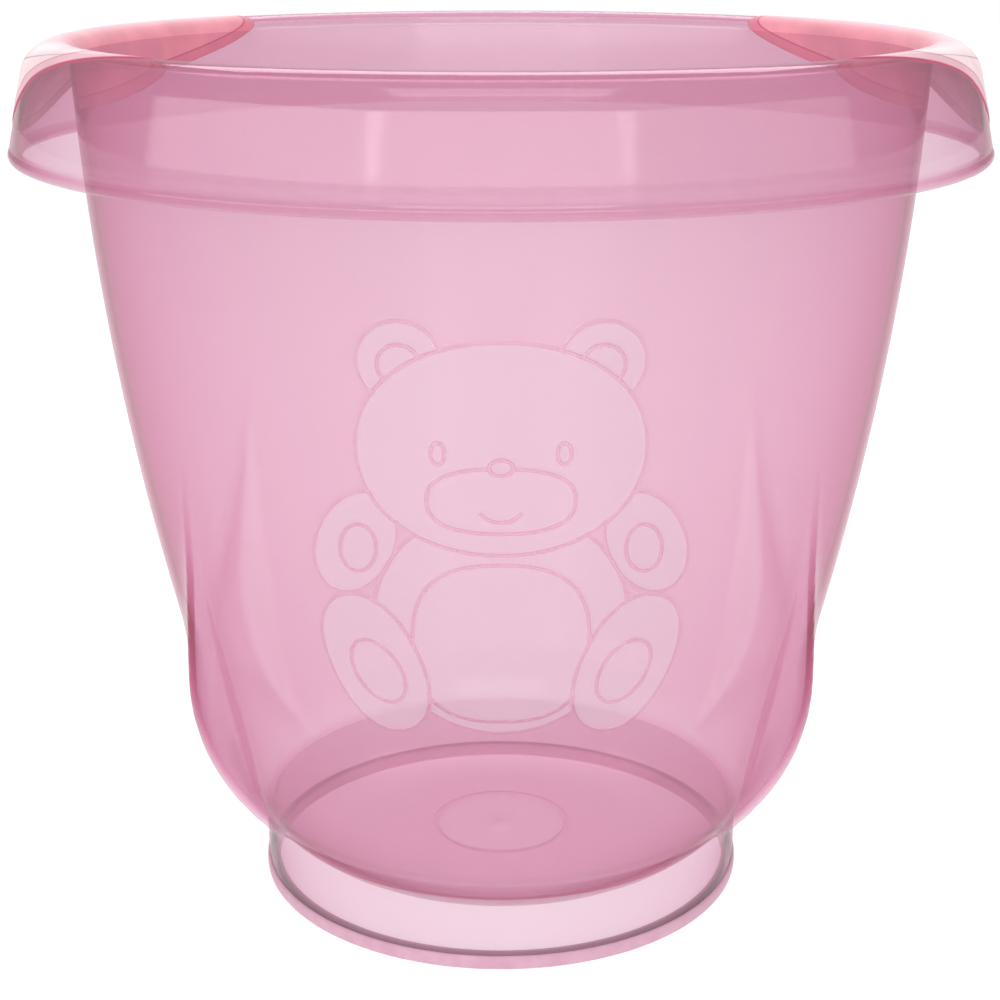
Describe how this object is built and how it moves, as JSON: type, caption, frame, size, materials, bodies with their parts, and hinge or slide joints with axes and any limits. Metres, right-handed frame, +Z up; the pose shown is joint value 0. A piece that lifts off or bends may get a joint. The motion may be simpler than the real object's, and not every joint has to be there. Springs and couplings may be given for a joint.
{
  "type": "baby bathtub",
  "caption": "Upright round baby bathtub in translucent plastic, with a turned-down rim, soft rim grips, a raised bear and a soft foot band.",
  "frame": {"origin": "middle of the foot band's underside, on the ground", "axes": "+Z up the tub's axis, -Y to the front with the bear, X from grip to grip"},
  "size_m": [0.3988, 0.399, 0.365],
  "materials": {
    "tub_plastic": "translucent pink, smooth gloss outside",
    "grip_soft": "soft-touch, fine matt texture",
    "band_soft": "soft-touch, satin"
  },
  "bodies": {
    "root": {"tub_shell": "tub_plastic", "grip_left": "grip_soft", "grip_right": "grip_soft", "foot_band": "band_soft"}
  },
  "joints": []
}
